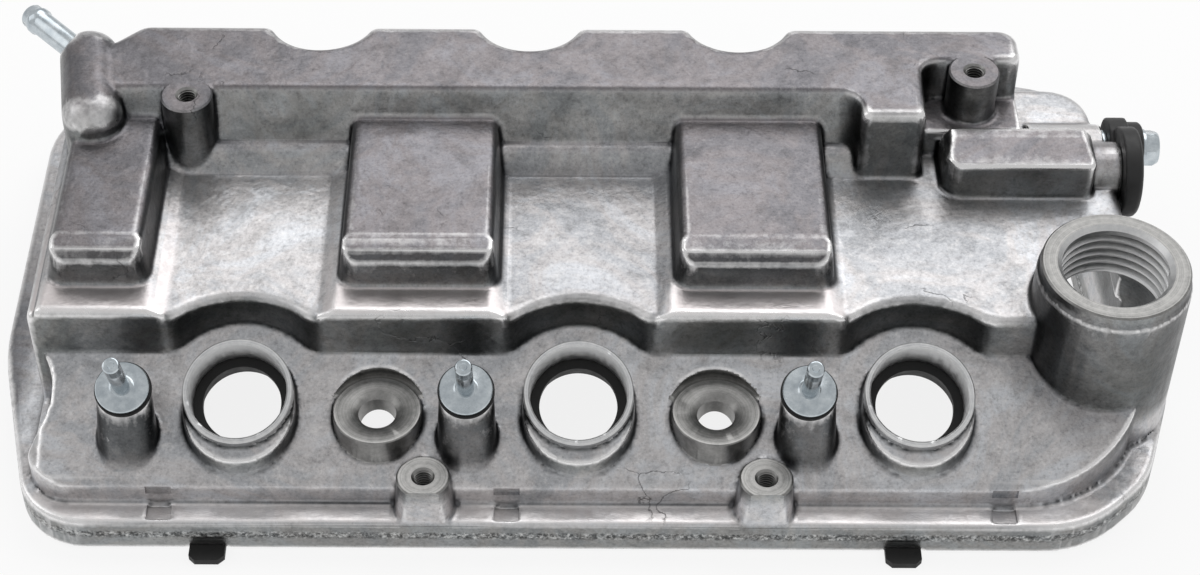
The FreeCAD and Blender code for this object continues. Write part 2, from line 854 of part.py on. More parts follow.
def breather_pipe():
    """Steel pipe with a hose bead, pressed into the elbow."""
    start, direction = pipe_line()
    tube = cylinder(pipe_radius, pipe_out, start, direction)
    land = start + direction * (pipe_out - pipe_bead_from_end - pipe_bead_length)
    ramp = 2 * (pipe_bead - pipe_radius)
    bead = [
        Part.makeCone(pipe_radius, pipe_bead, ramp, land - direction * ramp, direction),
        cylinder(pipe_bead, pipe_bead_length, land, direction),
        Part.makeCone(pipe_bead, pipe_radius, ramp, land + direction * pipe_bead_length, direction),
    ]
    body = fuse([tube] + bead)
    return body.cut(cylinder(pipe_bore, pipe_out + 2.0, start - direction, direction))


def end_cap():
    """Plastic cap over the end bore, with a spigot in the bore and an ear for its bolt."""
    disc = x_cylinder(cap_radius, bore_end, cap_face, bore_y, bore_z)
    ear = x_cylinder(ear_radius, ear_start, ear_start + ear_flange, lug_y, lug_z)
    boss = x_cylinder(ear_boss_radius, ear_start + ear_flange, ear_face, lug_y, lug_z)
    rims = [e for e in boss.Edges if abs(e.BoundBox.XMin - ear_face) < 0.01]
    boss = boss.makeChamfer(cap_edge, rims)
    clear = x_cylinder(bore_end_radius + 0.4, ear_start - 1.0, bore_end, bore_y, bore_z)
    rims = [e for e in disc.Edges if abs(e.BoundBox.XMin - cap_face) < 0.01]
    disc = disc.makeChamfer(cap_edge, rims)
    plate = fuse([disc, ear, boss]).cut(clear)
    spigot = x_cylinder(bore_radius - spigot_clearance, bore_end - spigot_length, bore_end, bore_y, bore_z)
    groove = x_cylinder(bore_radius + 1.0, oring_start, oring_start + oring_section, bore_y, bore_z)
    floor = x_cylinder(bore_radius - oring_section, oring_start, oring_start + oring_section, bore_y, bore_z)
    cap = plate.fuse(spigot.cut(groove.cut(floor)))
    return cap.cut(x_cylinder(sleeve_radius, ear_start - 1.0, ear_face + 1.0, lug_y, lug_z))


def end_cap_sleeve():
    """Steel compression sleeve through the cap's ear, clamped between bolt and lug."""
    tube = x_cylinder(sleeve_radius, lug_end, ear_face, lug_y, lug_z)
    collar = x_cylinder(sleeve_collar_radius, lug_end, ear_start, lug_y, lug_z)
    bore = x_cylinder(cap_bolt_radius + sleeve_clearance, lug_end - 1.0, ear_face + 1.0, lug_y, lug_z)
    return tube.fuse(collar).cut(bore)


def end_cap_bolt():
    """Flanged hex bolt that holds the end cap."""
    shank = x_cylinder(thread_core_radius, lug_end - cap_bolt_thread, lug_end, lug_y, lug_z)
    body = x_cylinder(cap_bolt_radius, lug_end, ear_face, lug_y, lug_z)
    disc = x_cylinder(cap_bolt_flange, ear_face, ear_face + 1.1, lug_y, lug_z)
    corner = cap_hex / 2 / math.cos(math.radians(30))
    points = []
    for i in range(6):
        turn = math.radians(60 * i + 30)
        points.append(V(ear_face, lug_y + corner * math.cos(turn), lug_z + corner * math.sin(turn)))
    head = Part.Face(Part.makePolygon(points + points[:1])).extrude(V(cap_bolt_head, 0, 0))
    crown = Part.makeCone(corner + 2.0, corner - 1.0, cap_bolt_head, V(ear_face, lug_y, lug_z), V(1, 0, 0))
    return fuse([shank, body, disc, head.common(crown)])


def end_cap_oring():
    """O-ring squeezed in its groove: flat where it bears, its corners drawn in."""
    corner = 0.3 * oring_section
    inner = bore_radius - oring_section
    start = oring_start
    end = oring_start + oring_section
    section = [
        (start + corner, inner),
        (start, inner + corner),
        (start, bore_radius - corner),
        (start + corner, bore_radius),
        (end - corner, bore_radius),
        (end, bore_radius - corner),
        (end, inner + corner),
        (end - corner, inner),
    ]
    points = [V(x, bore_y + r, bore_z) for x, r in section]
    face = Part.Face(Part.makePolygon(points + points[:1]))
    return face.revolve(V(0, bore_y, bore_z), V(1, 0, 0), 360)


def baffle_plate():
    """Sheet baffle that closes the breather chamber from below."""
    chamber = outline(ridge_outline(ridge_foot, nose_front, nose_front + nose_depth - 1.0))
    plate = prism(chamber.makeOffset2D(baffle_seat - wall), baffle_z, baffle_z + baffle_thickness)
    rear = ridge_rear - wall - baffle_clearance
    behind = Part.makeBox(reach, reach, reach, V(-reach / 2, rear, baffle_z - reach / 2))
    tools = scallops(wall + baffle_clearance, baffle_z - 1.0, baffle_z + 5.0) + [behind]
    for x in baffle_x:
        tools.append(cylinder(screw_radius + baffle_clearance, 6.0, V(x, baffle_post_y, baffle_z - 2.0)))
    tools.append(x_cylinder(bore_end_radius + baffle_clearance, nose_left, ridge_right, bore_y, bore_z))
    return plate.cut(fuse(tools))


def baffle_screw(x):
    head = cylinder(screw_head_radius, screw_head_height, V(x, baffle_post_y, baffle_z - screw_head_height))
    rim = [e for e in head.Edges if abs(e.BoundBox.ZMax - (baffle_z - screw_head_height)) < 0.01]
    head = head.makeChamfer(screw_edge, rim)
    for turn in (0, 90):
        slot = Part.makeBox(screw_head_radius * 1.2, screw_slot, 1.0)
        slot.translate(V(-screw_head_radius * 0.6, -screw_slot / 2, 0))
        slot.rotate(V(0, 0, 0), V(0, 0, 1), turn)
        slot.translate(V(x, baffle_post_y, baffle_z - screw_head_height))
        head = head.cut(slot)
    shank = cylinder(screw_radius, screw_length, V(x, baffle_post_y, baffle_z))
    return head.fuse(shank)


def all_pieces():
    pieces = {"cover_casting": cover_casting(), "perimeter_gasket": perimeter_gasket()}
    sides = ["left", "centre", "right"]
    for side, x in zip(sides, tube_x):
        pieces["tube_seal_" + side] = tube_seal(x)
        pieces["coil_stud_" + side] = coil_stud(x)
        pieces["stud_washer_" + side] = stud_washer(x)
    pieces["breather_pipe"] = breather_pipe()
    pieces["end_cap"] = end_cap()
    pieces["end_cap_sleeve"] = end_cap_sleeve()
    pieces["end_cap_bolt"] = end_cap_bolt()
    pieces["end_cap_oring"] = end_cap_oring()
    pieces["baffle_plate"] = baffle_plate()
    for i, x in enumerate(baffle_x):
        pieces["baffle_screw_" + str(i + 1)] = baffle_screw(x)
    return pieces


os.makedirs("parts", exist_ok=True)
for name, shape in all_pieces().items():
    if len(shape.Solids) == 1:
        shape = shape.Solids[0]
    shape.translate(V(-origin_x, -origin_y, 0))
    shape.exportStep("parts/" + name + ".step")
    box = shape.BoundBox
    print(name, len(shape.Solids), "solid", shape.isValid(), round(shape.Volume),
          [round(v, 1) for v in (box.XMin, box.XMax, box.YMin, box.YMax, box.ZMin, box.ZMax)])
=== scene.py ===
# %% [markdown]
# # A cast aluminium valve cover
# The cover closes the top of one bank of a V6 engine. It is one large die casting with machined
# rims, bosses and threads, three plated studs, rubber seals and a black plastic end cap. The
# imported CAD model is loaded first, so that everything made here sits where the drawing says.

# %% Load the frame
import bpy
import bmesh
import json
import math
from mathutils import Vector, Matrix


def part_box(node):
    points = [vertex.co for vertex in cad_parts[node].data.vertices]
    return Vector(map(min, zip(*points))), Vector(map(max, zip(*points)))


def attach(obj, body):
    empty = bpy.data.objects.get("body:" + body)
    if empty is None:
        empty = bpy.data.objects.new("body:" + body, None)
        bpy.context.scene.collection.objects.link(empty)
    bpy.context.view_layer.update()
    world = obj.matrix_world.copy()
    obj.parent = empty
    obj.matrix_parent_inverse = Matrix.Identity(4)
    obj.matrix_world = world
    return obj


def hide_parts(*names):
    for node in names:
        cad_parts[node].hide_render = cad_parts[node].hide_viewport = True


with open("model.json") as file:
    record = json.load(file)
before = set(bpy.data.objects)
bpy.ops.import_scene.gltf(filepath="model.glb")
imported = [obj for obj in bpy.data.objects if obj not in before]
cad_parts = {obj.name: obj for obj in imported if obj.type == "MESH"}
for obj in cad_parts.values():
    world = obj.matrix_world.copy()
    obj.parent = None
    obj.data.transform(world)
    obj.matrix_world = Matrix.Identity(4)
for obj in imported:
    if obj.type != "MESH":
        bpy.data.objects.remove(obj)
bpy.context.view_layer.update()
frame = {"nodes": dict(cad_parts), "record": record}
nodes = frame["nodes"]
print("packed nodes:", len(nodes))

# %% [markdown]
# ## Working in the drawing's millimetres
# The drawing measures plan positions from the middle plug tube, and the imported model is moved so
# that its origin is the bottom centre of the whole cover. Blender works in metres. One constant
# and one function turn a drawing position into a place in the scene.

# %% Drawing positions
MM = 0.001
DRAWING_ORIGIN = Vector((2.0, 63.0, 0.0))


def spot(x, y, z):
    """Scene position of a point of the drawing, given in millimetres."""
    return (Vector((x, y, z)) - DRAWING_ORIGIN) * MM


def upright(x, y, z):
    """Matrix that stands a turned shape at a point of the drawing."""
    return Matrix.Translation(spot(x, y, z))


TUBE_TILT = math.radians(23.3)
RIM_HEIGHT = 39.4
TUBE_X = {"left": -98.0, "centre": 0.0, "right": 98.0}


def leaning(x, y, z):
    """Matrix for a turned shape whose axis leans with the plug tubes."""
    return upright(x, y, z) @ Matrix.Rotation(TUBE_TILT, 4, "X")


print("plug tubes lean", round(math.degrees(TUBE_TILT), 1), "degrees")

# %% [markdown]
# ## Tools of the workshop
# A real cover is cast first and machined afterwards, and the model follows the same order. Lathe
# work is a closed outline of radius and height spun round the Z axis. A thread is the outline of
# its groove, spun with a step along the axis. Boolean modifiers then add or cut these shapes. The
# spin operator makes all of them, which is less work than writing rings of vertices by hand.

# %% Turn closed shapes and threads
WELD = 1e-7
LARGE_STEPS = 96
SEAT_STEPS = 72
SMALL_STEPS = 48
HOLE_STEPS = 40
GROOVE_SHARE = 0.44
CREST_SHARE = 0.16
REACH_IN = 0.3


def turned(outline, steps=SEAT_STEPS):
    """Closed shape spun from an outline of radius and height in millimetres."""
    shape = bmesh.new()
    corners = [shape.verts.new((radius * MM, 0.0, height * MM)) for radius, height in outline]
    touches_axis = outline[0][0] == 0 and outline[-1][0] == 0
    ends = corners[1:] if touches_axis else corners[1:] + corners[:1]
    edges = [shape.edges.new(pair) for pair in zip(corners, ends)]
    bmesh.ops.spin(
        shape, geom=corners + edges, cent=(0, 0, 0), axis=(0, 0, 1),
        angle=2 * math.pi, steps=steps, use_merge=True,
    )
    bmesh.ops.remove_doubles(shape, verts=shape.verts, dist=WELD)
    bmesh.ops.recalc_face_normals(shape, faces=shape.faces)
    return shape


def thread_cutter(core, crest, pitch, turns, top, steps):
    """Helical groove from a core radius out to a crest radius, its first turn at a top height."""
    shape = bmesh.new()
    inner = core - REACH_IN
    half = pitch * GROOVE_SHARE
    crest_half = half * CREST_SHARE
    outline = [(inner, -half), (crest, -crest_half), (crest, crest_half), (inner, half)]
    corners = [shape.verts.new((r * MM, 0.0, (top + h) * MM)) for r, h in outline]
    start = shape.faces.new(corners)
    bmesh.ops.spin(
        shape, geom=[start], cent=(0, 0, 0), axis=(0, 0, 1), dvec=(0, 0, -pitch / steps * MM),
        angle=2 * math.pi * turns, steps=steps * turns,
    )
    open_edges = [edge for edge in shape.edges if edge.is_boundary]
    bmesh.ops.holes_fill(shape, edges=open_edges, sides=0)
    bmesh.ops.recalc_face_normals(shape, faces=shape.faces)
    return shape


print("steps round a tube:", LARGE_STEPS, "round a hole:", HOLE_STEPS)

# %% Join, add and cut shapes
FLAT = 0.5


def joined(name, placed_shapes):
    """One object of several shapes, each given with its matrix. Its faces count as flat."""
    whole = bmesh.new()
    for shape, place in placed_shapes:
        scratch = bpy.data.meshes.new("scratch")
        shape.to_mesh(scratch)
        scratch.transform(place)
        whole.from_mesh(scratch)
        bpy.data.meshes.remove(scratch)
    mesh = bpy.data.meshes.new(name)
    whole.to_mesh(mesh)
    whole.free()
    bend = mesh.attributes.new("edge_bend", "FLOAT", "POINT")
    bend.data.foreach_set("value", [FLAT] * len(mesh.vertices))
    piece = bpy.data.objects.new(name, mesh)
    bpy.context.scene.collection.objects.link(piece)
    return piece


def settle(piece):
    """Makes the result of a piece's modifiers its own mesh."""
    seen = bpy.context.evaluated_depsgraph_get()
    finished = bpy.data.meshes.new_from_object(piece.evaluated_get(seen))
    piece.modifiers.clear()
    piece.data = finished


def machine(piece, placed_shapes, operation):
    """Adds or cuts shapes, as a machining step would."""
    tool = joined("tool", placed_shapes)
    step = piece.modifiers.new("machining", "BOOLEAN")
    step.operation = operation
    step.solver = "MANIFOLD"
    step.object = tool
    before = len(piece.data.polygons)
    settle(piece)
    bpy.data.objects.remove(tool)
    print("machining", operation, before, "->", len(piece.data.polygons), "faces")


print("cut faces start with a bend of", FLAT)

# %% Copy, replace and shade pieces
LOOSE = 1e-6


def packed_copy(node_name, name):
    """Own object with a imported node's shape, its loose triangles merged."""
    mesh = nodes[node_name].data.copy()
    shape = bmesh.new()
    shape.from_mesh(mesh)
    bmesh.ops.remove_doubles(shape, verts=shape.verts, dist=LOOSE)
    shape.to_mesh(mesh)
    shape.free()
    mesh.materials.clear()
    piece = bpy.data.objects.new(name, mesh)
    bpy.context.scene.collection.objects.link(piece)
    return piece


def even_skin(piece, square, keep):
    """Rebuilds a piece as a skin of even squares, relaxes its edges and thins it to a share."""
    skin = piece.modifiers.new("even_skin", "REMESH")
    skin.mode = "VOXEL"
    skin.voxel_size = square * MM
    relaxed = piece.modifiers.new("relaxed", "SMOOTH")
    relaxed.factor = 0.5
    relaxed.iterations = 4
    settle(piece)
    squares = len(piece.data.polygons)
    thinner = piece.modifiers.new("thinner", "DECIMATE")
    thinner.ratio = keep
    settle(piece)
    print(piece.name, "skin:", squares, "squares, thinned to", len(piece.data.polygons), "faces")


def stands_for(piece, node_name):
    """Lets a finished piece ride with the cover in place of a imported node."""
    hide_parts(node_name)
    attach(piece, "root")


def shade(piece, sharp_degrees):
    """Smooth shading that keeps edges steeper than an angle sharp."""
    for face in piece.data.polygons:
        face.use_smooth = True
    piece.data.set_sharp_from_angle(angle=math.radians(sharp_degrees))


print("points closer than", LOOSE, "metres are merged in copies")

# %% [markdown]
# ## The casting as it leaves the die
# Molten aluminium never fills a sharp corner, so every edge of a die casting is a small round and
# every foot a small fillet. A bevel on so many meeting edges would fail somewhere. Instead the
# drawing's shape is rebuilt as an even skin of small squares, relaxed until its edges are about
# one millimetre round, and then thinned where it is flat.

# %% Round the casting's skin
SKIN_SQUARE = 0.75
SKIN_SHARE_KEPT = 0.15
casting = packed_copy("cover_casting", "valve_cover_casting")
even_skin(casting, SKIN_SQUARE, SKIN_SHARE_KEPT)

# %% [markdown]
# ## Where the skin bends
# The cast finish paints a highlight on the outward edges of the casting and paints shade into the
# corners at its feet.
# A material can't see edges by itself in every renderer, so each point of the skin keeps a number
# for how sharply it bends there. The mean slope towards a point's neighbours gives that number.

# %% Measure how sharply the skin bends
BEND_GAIN = 1.6


def mark_bends(piece):
    """Vertex attribute: above FLAT on outward edges, below it in inward corners."""
    shape = bmesh.new()
    shape.from_mesh(piece.data)
    shape.verts.ensure_lookup_table()
    bend = [0.0] * len(shape.verts)
    for vert in shape.verts:
        slopes = []
        for edge in vert.link_edges:
            along = edge.other_vert(vert).co - vert.co
            slopes.append(along.dot(vert.normal) / max(along.length, LOOSE))
        bend[vert.index] = -sum(slopes) / max(len(slopes), 1)
    spread = list(bend)
    for vert in shape.verts:
        near = [bend[edge.other_vert(vert).index] for edge in vert.link_edges]
        if near:
            spread[vert.index] = 0.5 * bend[vert.index] + 0.5 * sum(near) / len(near)
    shape.free()
    measured = piece.data.attributes.new("edge_bend", "FLOAT", "POINT")
    measured.data.foreach_set("value", [FLAT + BEND_GAIN * value for value in spread])
    print("bends from", round(min(spread), 3), "to", round(max(spread), 3))


mark_bends(casting)

# %% [markdown]
# ## Machined faces and holes
# After casting, a mill squares off the rims and bosses that other parts touch, drills the holes
# and cuts the threads. These faces are flat and their edges crisp. They are added and cut as
# turned shapes, from the drawing's sizes.

# %% Square off the tube rims, bosses and the neck
EDGE_BREAK = 0.3
RIM_RADIUS = 15.9
RIM_LENGTH = 4.0
RIM_ROOT = 8.0
TUBE_BORE = 14.1
RIM_BORE = TUBE_BORE - 0.4
BOSS_RADIUS = 12.85
BOSS_TOP = 32.0
BOSS_ROOT = 9.0
THREAD_BOSS_RADIUS = 7.75
THREAD_BOSS_ROOT = 7.0
NECK = (153.7, 24.9)
NECK_TOP = 67.3
NECK_RIM_RADIUS = 21.4
NECK_RIM_BORE = 15.2
WIDE_BREAK = 0.5
FRONT_BOLTS = [(-58.2, -0.6), (39.8, -0.6)]
REAR_BOLTS = [(-80.0, 126.2), (-15.5, 126.2), (49.0, 126.2)]
FRONT_THREADS = [(-44.3, -20.4), (53.7, -20.4)]
REAR_THREADS = [(-118.2, 86.4), (120.1, 99.2)]
FRONT_THREAD_TOP = 26.0
REAR_THREAD_TOP = 76.15

rim = [(RIM_BORE, 0), (RIM_RADIUS - EDGE_BREAK, 0), (RIM_RADIUS, -EDGE_BREAK), (RIM_RADIUS, -RIM_ROOT),
       (RIM_BORE, -RIM_ROOT)]
boss = [(0, 0), (BOSS_RADIUS - EDGE_BREAK, 0), (BOSS_RADIUS, -EDGE_BREAK), (BOSS_RADIUS, -BOSS_ROOT),
        (0, -BOSS_ROOT)]
neck_rim = [(NECK_RIM_BORE, 0), (NECK_RIM_RADIUS - WIDE_BREAK, 0), (NECK_RIM_RADIUS, -WIDE_BREAK),
            (NECK_RIM_RADIUS, -BOSS_ROOT), (NECK_RIM_BORE, -BOSS_ROOT)]
thread_boss = [(0, 0), (THREAD_BOSS_RADIUS - WIDE_BREAK, 0), (THREAD_BOSS_RADIUS, -WIDE_BREAK),
               (THREAD_BOSS_RADIUS, -THREAD_BOSS_ROOT), (0, -THREAD_BOSS_ROOT)]
tube_stands = [leaning(x, 0.0, RIM_HEIGHT) for x in TUBE_X.values()]
bolt_stands = [upright(x, y, BOSS_TOP) for x, y in FRONT_BOLTS + REAR_BOLTS]
neck_stand = upright(*NECK, NECK_TOP)
thread_stands = [upright(x, y, REAR_THREAD_TOP) for x, y in REAR_THREADS]
thread_stands += [upright(x, y, FRONT_THREAD_TOP) for x, y in FRONT_THREADS]
added = [(turned(rim, LARGE_STEPS), stand) for stand in tube_stands]
added += [(turned(boss), stand) for stand in bolt_stands]
added += [(turned(neck_rim, LARGE_STEPS), neck_stand)]
added += [(turned(thread_boss, SMALL_STEPS), stand) for stand in thread_stands]
machine(casting, added, "UNION")

# %% Drill the bores and dish the bolt seats
TUBE_MOUTH = TUBE_BORE + 0.45
TUBE_DEPTH = 14.0
BOLT_HOLE = 5.5
BOLT_DISH = 7.4
DISH_DEPTH = 1.6
BOLT_DEPTH = 36.0
SPOT_RADIUS = 14.5
SPOT_DEPTH = 0.8
SPOT_ROOM = 12.0
THREAD_CORE = 2.5
THREAD_MOUTH = 3.4
THREAD_DEPTH = 16.0
NECK_BORE = 15.4
NECK_MOUTH = 16.8
NECK_DEPTH = 17.0


def drill(mouth, core, chamfer, depth):
    """Outline of a round cutter, with a chamfer below its mouth."""
    above = 1.0
    return [(0, above), (mouth, above), (mouth, 0), (core, -chamfer), (core, -depth), (0, -depth)]


tube_bore = drill(TUBE_MOUTH, TUBE_BORE, TUBE_MOUTH - TUBE_BORE, TUBE_DEPTH)
bolt_bore = drill(BOLT_DISH, BOLT_HOLE, DISH_DEPTH, BOLT_DEPTH)
small_bore = drill(THREAD_MOUTH, THREAD_CORE, THREAD_MOUTH - THREAD_CORE, THREAD_DEPTH)
neck_bore = drill(NECK_MOUTH, NECK_BORE, NECK_MOUTH - NECK_BORE, NECK_DEPTH)
spot_face = [(BOSS_RADIUS, SPOT_ROOM), (SPOT_RADIUS, SPOT_ROOM), (SPOT_RADIUS, -SPOT_DEPTH),
             (BOSS_RADIUS, -SPOT_DEPTH)]
bored = [(turned(tube_bore, LARGE_STEPS), stand) for stand in tube_stands]
bored += [(turned(bolt_bore), stand) for stand in bolt_stands]
bored += [(turned(spot_face), stand) for stand in bolt_stands]
bored += [(turned(small_bore, HOLE_STEPS), stand) for stand in thread_stands]
bored += [(turned(neck_bore, LARGE_STEPS), neck_stand)]
machine(casting, bored, "DIFFERENCE")

# %% [markdown]
# ## Room under the bolt seats
# Light comes through the bolt holes, so the front seats are pads on the sloping deck, open
# beneath. A round cutter is trimmed to the slope of the deck with bisect_plane, and it takes the
# lower part of each column away.

# %% Open the front bolt seats from below
UNDER_DECK = 23.6
UNDER_RADIUS = BOSS_RADIUS + 0.4


def under_seat():
    """Round cutter whose top slopes as the deck does, its height measured from the table."""
    start = -1.0
    end = 40.0
    shape = turned([(0, start), (UNDER_RADIUS, start), (UNDER_RADIUS, end), (0, end)], SMALL_STEPS)
    slope = Vector((0.0, -math.sin(TUBE_TILT), math.cos(TUBE_TILT)))
    bmesh.ops.bisect_plane(
        shape, geom=shape.verts[:] + shape.edges[:] + shape.faces[:],
        plane_co=(0, 0, UNDER_DECK * MM), plane_no=slope, clear_outer=True,
    )
    bmesh.ops.holes_fill(shape, edges=[edge for edge in shape.edges if edge.is_boundary], sides=0)
    bmesh.ops.recalc_face_normals(shape, faces=shape.faces)
    return shape


machine(casting, [(under_seat(), upright(x, y, 0.0)) for x, y in FRONT_BOLTS], "DIFFERENCE")

# %% Cut the threads
M6_PITCH = 1.0
M6_CREST = 3.05
NECK_PITCH = 2.9
NECK_CREST = 17.3
small_thread = thread_cutter(THREAD_CORE, M6_CREST, M6_PITCH, turns=9, top=0.4, steps=24)
neck_thread = thread_cutter(NECK_BORE, NECK_CREST, NECK_PITCH, turns=5, top=-3.4, steps=60)
threads = [(small_thread, stand) for stand in thread_stands]
threads += [(neck_thread, neck_stand)]
machine(casting, threads, "DIFFERENCE")

# %% Face the front bosses and press the marks of the die's pins
FLANGE_FRONT = -26.8
FLANGE_TOP = 12.2
BODY_FRONT = -18.9
FACING = (30.0, 4.0, 18.0)
FACING_AT = (FLANGE_FRONT - 1.8, 20.0)
PIN_X = [-121.0, -20.6, 123.1]
LEDGE_PIN = (7.0, 5.0, 6.0)
LEDGE_PIN_AT = (FLANGE_FRONT + 4.2, FLANGE_TOP + 1.8)
WALL_PIN = (7.5, 2.0, 3.0)
WALL_PIN_AT = (BODY_FRONT - 0.1, 17.4)


def block(width, depth, height):
    """Plain cutter with its middle at the origin, in millimetres."""
    shape = bmesh.new()
    bmesh.ops.create_cube(shape, size=1.0)
    bmesh.ops.scale(shape, vec=Vector((width, depth, height)) * MM, verts=shape.verts)
    return shape


faced = [(block(*FACING), upright(x, *FACING_AT)) for x, _ in FRONT_THREADS]
faced += [(block(*LEDGE_PIN), upright(x, *LEDGE_PIN_AT)) for x in PIN_X]
faced += [(block(*WALL_PIN), upright(x, *WALL_PIN_AT)) for x in PIN_X]
machine(casting, faced, "DIFFERENCE")

# Points that a cut made have no measured bend, so they count as flat.
UNMEASURED = 1e-6
for point in casting.data.attributes["edge_bend"].data:
    if abs(point.value) < UNMEASURED:
        point.value = FLAT
print("casting:", len(casting.data.polygons), "faces")

# %% [markdown]
# ## Small helpers for materials
# Colours are given as sRGB hex values, the way a paint program shows them, and Blender computes
# in linear light, so one function converts them. One more function adds a shader node, sets its
# values and joins its inputs, which keeps each material short enough to read.

# %% Colour and node helpers
def srgb(hex_value):
    """Linear colour of a six digit sRGB hex value."""
    channels = [int(hex_value[i:i + 2], 16) / 255 for i in (0, 2, 4)]
    linear = [c / 12.92 if c <= 0.04045 else ((c + 0.055) / 1.055) ** 2.4 for c in channels]
    return (*linear, 1.0)


def node(tree, kind, links=None, **settings):
    """Adds a shader node. Settings name its properties or sockets, links join its inputs."""
    made = tree.nodes.new(kind)
    for key, value in settings.items():
        if key.startswith("in_"):
            socket = key[3:].replace("_", " ")
            made.inputs[int(socket) if socket.isdigit() else socket].default_value = value
        else:
            setattr(made, key, value)
    for key, source in (links or {}).items():
        tree.links.new(source, made.inputs[key])
    return made


def new_material(name):
    """New material, given back with its node tree, shader and texture coordinates."""
    material = bpy.data.materials.new(name)
    material.use_nodes = True
    tree = material.node_tree
    place = tree.nodes.new("ShaderNodeTexCoord")
    return material, tree, tree.nodes["Principled BSDF"], place


def per_size(size_mm):
    """Noise scale whose features are about a size in millimetres across."""
    return 1.0 / (size_mm * MM)


print("mid grey in linear light:", round(srgb("808080")[0], 3))

# %% [markdown]
# ## Die-cast aluminium
# The skin of a die casting is a dull silver, tumbled or lightly blasted, with soft cloudy patches
# where the metal met the die at different heat. Its walls, sides and raised tops are darkened with
# painted shade, its feet hold painted shade and its edges a painted highlight. An attribute worked out
# from the shape tells edges from feet, and noise from 38 mm down to 0.9 mm gives clouds, stains and
# specks.

# %% Noise that the cast finish is made of
cast, tree, shader, place = new_material("die_cast_aluminium")
objects = place.outputs["Object"]

# For each noise: its size in mm, detail, roughness and distortion.
noise_sizes = {
    "clouds": (38, 6.0, 0.66, 1.2), "stains": (10, 8.0, 0.75, 0.5), "mottle": (3.2, 6.0, 0.75, 0.0),
    "specks": (0.9, 4.0, 0.7, 0.0), "patches": (24, 4.0, 0.6, 0.0), "flecks": (1.8, 6.0, 0.8, 0.0),
    "grain": (1.3, 5.0, 0.7, 0.0), "swell": (13, 3.0, 0.5, 0.0), "wander": (7, 4.0, 0.5, 0.0),
    "crazed": (30, 2.0, 0.5, 0.0),
}
cast_noise = {}
for name, (size, detail, roughness, distortion) in noise_sizes.items():
    cast_noise[name] = node(
        tree, "ShaderNodeTexNoise", {"Vector": objects}, in_Scale=per_size(size),
        in_Detail=detail, in_Roughness=roughness, in_Distortion=distortion,
    )
print("noise sizes in mm:", {name: sizes[0] for name, sizes in noise_sizes.items()})

# %% Where the finish changes: walls, feet, edges, hairlines and flash
turn = node(tree, "ShaderNodeSeparateXYZ", {"Vector": place.outputs["Normal"]})
facing = turn.outputs["Z"]
sideways = node(tree, "ShaderNodeMath", {0: turn.outputs["X"]}, operation="ABSOLUTE").outputs[0]
where = node(tree, "ShaderNodeSeparateXYZ", {"Vector": objects})
bend = node(tree, "ShaderNodeAttribute", attribute_name="edge_bend").outputs["Fac"]
# Amount of painted shade (below zero) and painted light (above zero) at each point.
painted_light_and_shade = node(tree, "ShaderNodeAttribute", attribute_name="painted_light_and_shade").outputs["Fac"]

# The mottle makes the borders of the painted edge highlights and of the painted shade in the feet
# ragged.
RAGGEDNESS = 0.14
ragged = node(tree, "ShaderNodeMath", {0: cast_noise["mottle"].outputs["Fac"], 2: bend},
              operation="MULTIPLY_ADD", in_1=RAGGEDNESS)
ragged = node(tree, "ShaderNodeMath", {0: ragged.outputs[0]}, operation="SUBTRACT",
              in_1=RAGGEDNESS / 2).outputs[0]

# Hairlines left by the die: borders of wandering cells, seen only in some patches.
CELL_SIZE = 34
WANDERING = 14
wandered = node(tree, "ShaderNodeVectorMath", {0: cast_noise["wander"].outputs["Color"]},
                operation="SCALE", in_Scale=WANDERING * MM)
wandered = node(tree, "ShaderNodeVectorMath", {0: objects, 1: wandered.outputs[0]}, operation="ADD")
cells = node(tree, "ShaderNodeTexVoronoi", {"Vector": wandered.outputs[0]},
             feature="DISTANCE_TO_EDGE", in_Scale=per_size(CELL_SIZE))

# Flash that was trimmed off roughly leaves a flecked line at mid height of the flange.
FLASH_HEIGHT = 7.0
off_flash = node(tree, "ShaderNodeMath", {0: where.outputs["Z"]}, operation="SUBTRACT",
                 in_1=FLASH_HEIGHT * MM)
off_flash = node(tree, "ShaderNodeMath", {0: off_flash.outputs[0]}, operation="ABSOLUTE").outputs[0]
print("flash line at", FLASH_HEIGHT, "mm, hairline cells of", CELL_SIZE, "mm")

